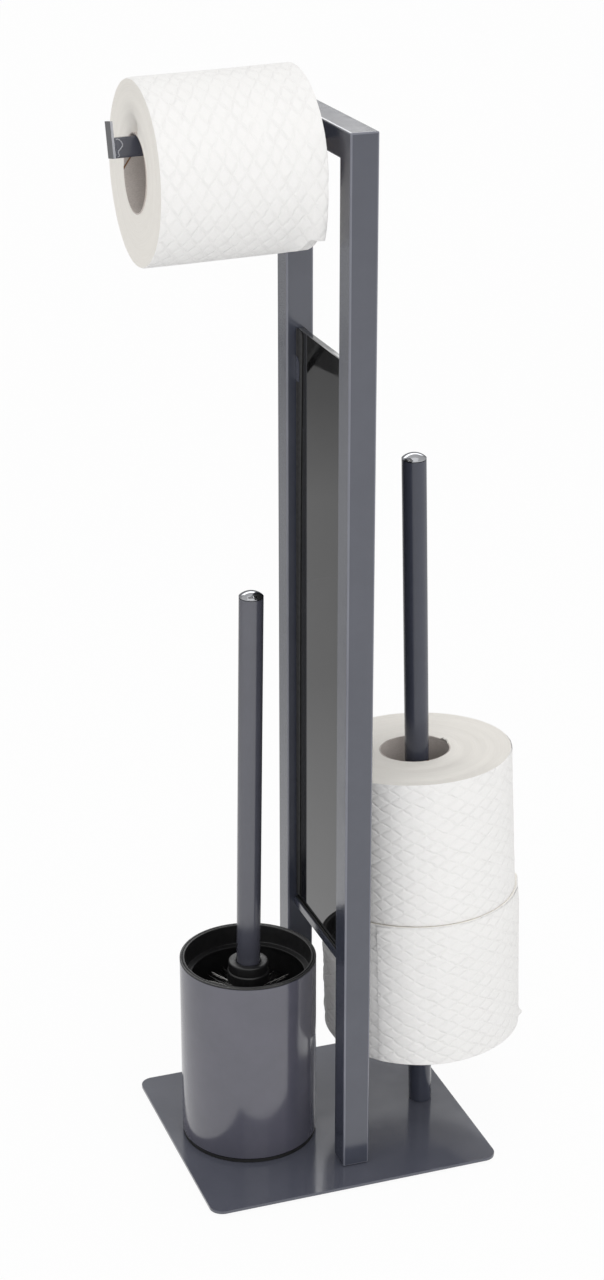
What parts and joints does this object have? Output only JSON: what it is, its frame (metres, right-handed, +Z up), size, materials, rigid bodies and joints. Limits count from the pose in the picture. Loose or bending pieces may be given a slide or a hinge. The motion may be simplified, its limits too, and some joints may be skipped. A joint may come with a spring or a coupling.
{
  "type": "toilet butler stand",
  "caption": "Free-standing square-tube bathroom stand with a toilet roll arm, a spare roll post, a dark glass panel and a toilet brush in a round cup.",
  "frame": {"origin": "on the ground under the middle of the base plate", "axes": "+Z up, +X from the brush cup towards the spare rolls, -Y towards the front"},
  "size_m": [0.2756, 0.175, 0.7322],
  "materials": {
    "paint": "anthracite semi-gloss powder coat",
    "chrome": "polished",
    "steel": "zinc plated",
    "glass": "dark, opaque and mirror-like",
    "rubber": "matte",
    "black": "satin",
    "bristle": "fine strands",
    "foam": "matte foam sheet",
    "card": "matte grey",
    "paper": "soft quilted tissue"
  },
  "bodies": {
    "stand": {"base_plate": "paint", "base_mat": "foam", "front_upright": "paint", "rear_upright": "paint", "top_rail": "paint", "front_foot_plug": "steel", "rear_foot_plug": "steel", "front_foot_screw": "steel", "rear_foot_screw": "steel", "glass_channel": "paint", "glass_gasket": "rubber", "glass_panel": "glass", "glass_clip_front_left": "paint", "glass_clip_front_right": "paint", "glass_clip_rear_left": "paint", "glass_clip_rear_right": "paint", "roll_arm": "paint", "arm_end_plate": "paint", "arm_root_plug": "steel", "arm_screw": "steel", "spare_post": "paint", "spare_post_cap": "chrome", "spare_post_plug": "steel", "spare_post_screw": "steel", "roll_support_disc": "paint"},
    "cup": {"cup_shell": "paint", "cup_liner": "black", "cup_foot_ring": "black"},
    "brush": {"brush_handle": "paint", "brush_handle_cap": "chrome", "brush_handle_stud": "steel", "brush_collar": "black", "brush_core": "black", "bristles_1": "bristle", "bristles_2": "bristle", "bristles_3": "bristle", "bristles_4": "bristle"},
    "top_roll": {"top_roll_core": "card", "top_roll_paper": "paper"},
    "lower_roll": {"lower_roll_core": "card", "lower_roll_paper": "paper"},
    "upper_roll": {"upper_roll_core": "card", "upper_roll_paper": "paper"}
  },
  "joints": [
    {"name": "cup_lift", "type": "slide", "parent": "stand", "child": "cup", "axis": [0, 0, 1], "range_m": [0, 0.05]},
    {"name": "brush_lift", "type": "slide", "parent": "cup", "child": "brush", "axis": [0.0152, 0, 0.9999], "range_m": [0, 0.14]},
    {"name": "top_roll_spin", "type": "hinge", "parent": "stand", "child": "top_roll", "pos_m": [-0.06351, -0.00276, 0.67533], "axis": [0.9996, 0, 0.0297], "continuous": true},
    {"name": "lower_roll_lift", "type": "slide", "parent": "stand", "child": "lower_roll", "axis": [0, 0, 1], "range_m": [0, 0.39]},
    {"name": "upper_roll_lift", "type": "slide", "parent": "lower_roll", "child": "upper_roll", "axis": [0, 0, 1], "range_m": [0, 0.32]}
  ]
}
